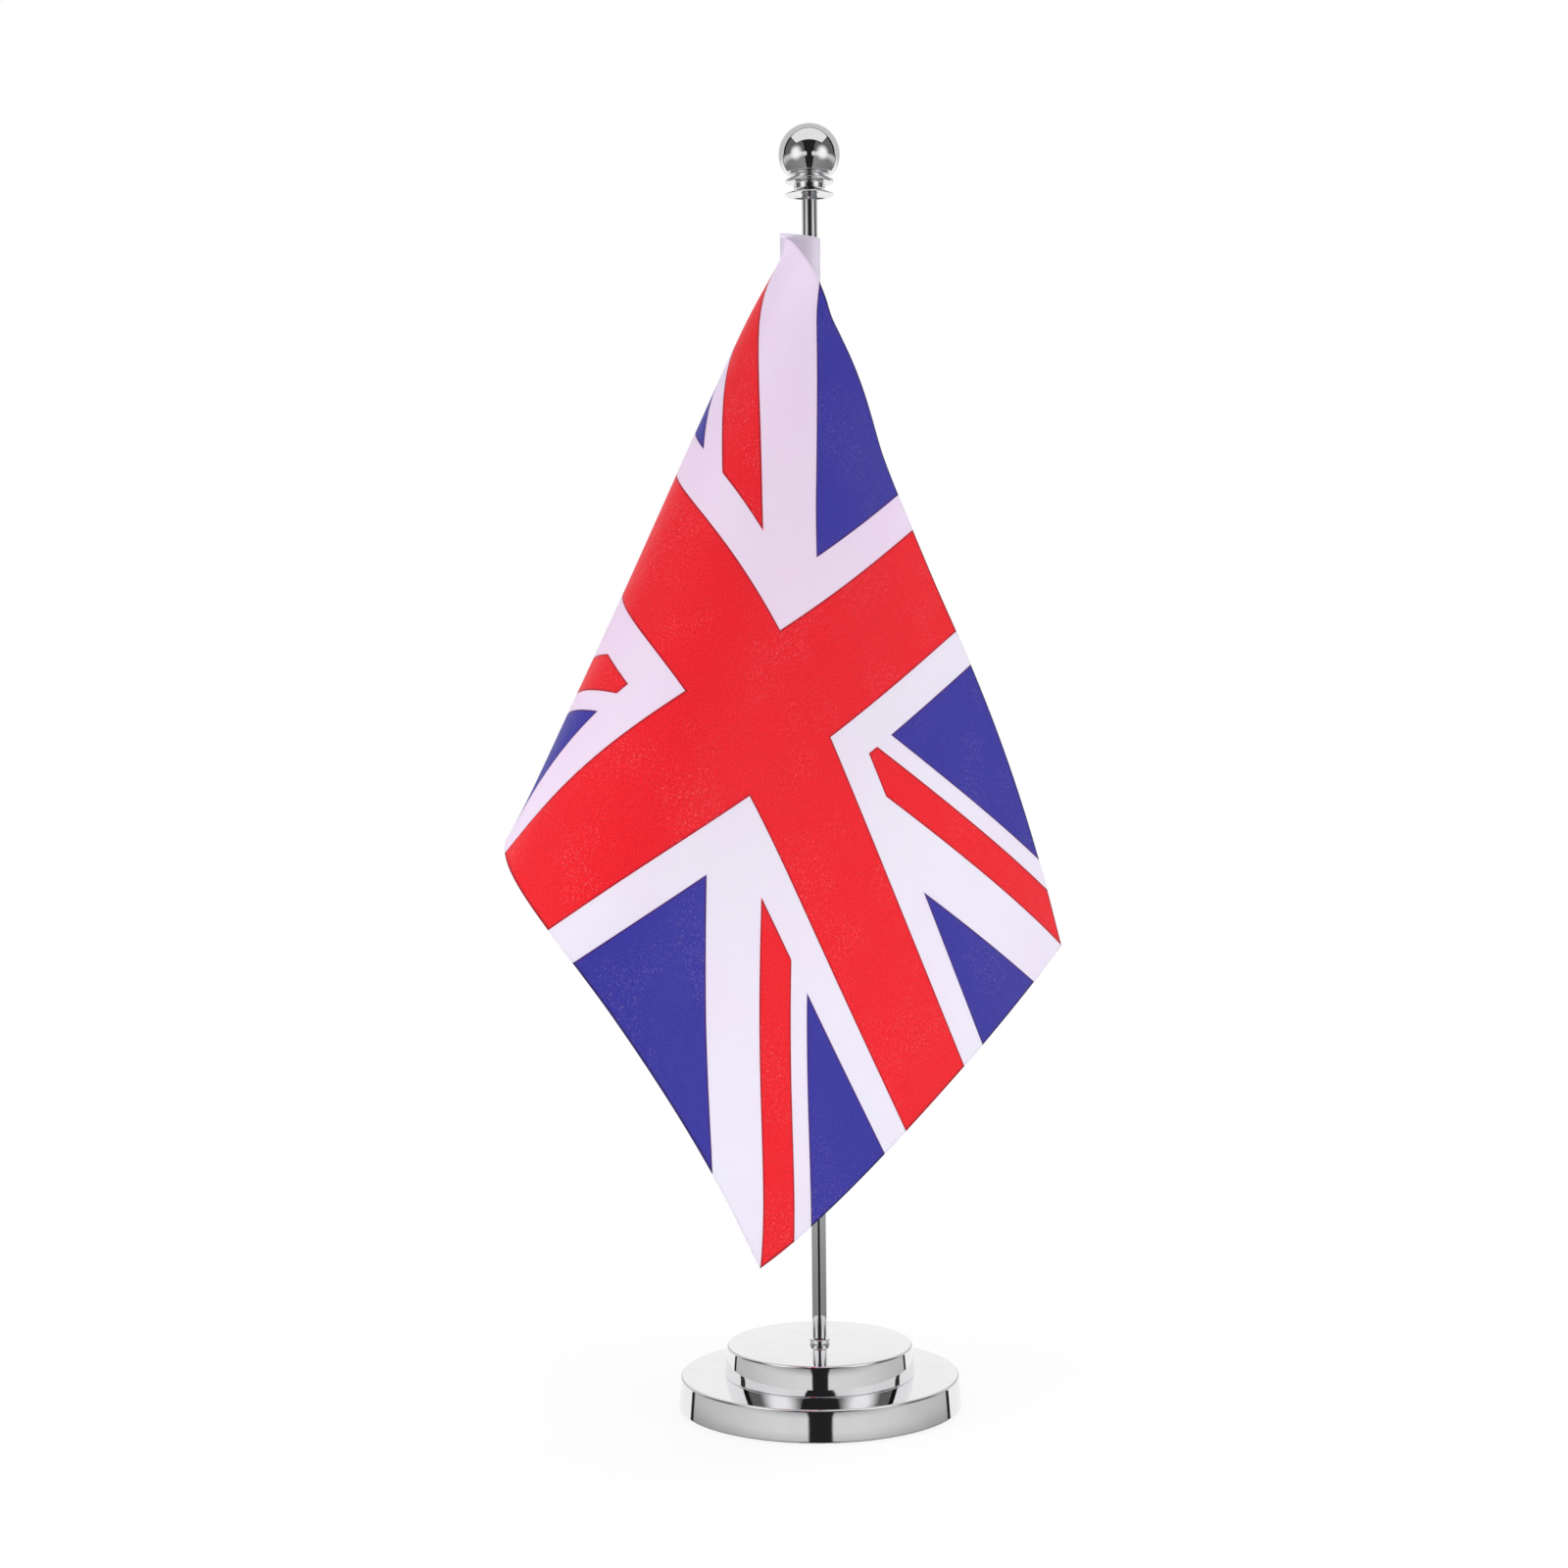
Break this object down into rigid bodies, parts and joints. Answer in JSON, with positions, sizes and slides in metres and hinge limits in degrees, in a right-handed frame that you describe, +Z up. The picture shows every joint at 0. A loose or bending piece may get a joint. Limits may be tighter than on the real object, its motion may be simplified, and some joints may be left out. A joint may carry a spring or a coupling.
{
  "type": "desk flag stand",
  "caption": "Small satin table flag on a thin chromed pole with a ball finial, standing in a two-step weighted round base.",
  "frame": {"origin": "centre of the pad's flat underside, on the pole's axis", "axes": "+Z up along the pole, +X towards the flag's fly end as seen from the front, -Y towards the viewer"},
  "size_m": [0.1351, 0.1077, 0.3151],
  "materials": {
    "chrome_plate": "mirror-polished chrome plate",
    "ballast_iron": "raw cast",
    "pad_rubber": "fine-grained foam rubber",
    "zinc_steel": "bright zinc plated",
    "ring_rubber": "smooth moulded",
    "flag_satin": "printed polyester satin in red, white and blue",
    "sleeve_satin": "white polyester satin",
    "thread": "white sewing thread"
  },
  "bodies": {
    "base": {"base_lower_cover": "chrome_plate", "base_upper_cover": "chrome_plate", "threaded_bush": "chrome_plate", "lower_ballast": "ballast_iron", "upper_ballast": "ballast_iron", "non_slip_pad": "pad_rubber", "clamp_nut": "zinc_steel", "spring_washer": "zinc_steel", "flat_washer": "zinc_steel"},
    "pole": {"pole": "chrome_plate", "lower_stud": "zinc_steel", "upper_stud": "zinc_steel"},
    "finial": {"finial_bell": "chrome_plate", "finial_collar": "chrome_plate", "finial_ball": "chrome_plate"},
    "stop_ring": {"flag_stop_ring": "ring_rubber"},
    "flag": {"flag_panel": "flag_satin", "flag_sleeve": "sleeve_satin", "sleeve_stitching": "thread"}
  },
  "joints": [
    {"name": "pole_lift", "type": "slide", "parent": "base", "child": "pole", "axis": [0, 0, 1], "range_m": [0, 0.008]},
    {"name": "finial_lift", "type": "slide", "parent": "pole", "child": "finial", "axis": [0, 0, 1], "range_m": [0, 0.009]},
    {"name": "flag_height", "type": "slide", "parent": "pole", "child": "stop_ring", "axis": [0, 0, 1], "range_m": [-0.018, 0.008]},
    {"name": "flag_swivel", "type": "hinge", "parent": "stop_ring", "child": "flag", "pos_m": [0, 0, 0.147], "axis": [0, 0, 1], "continuous": true}
  ]
}
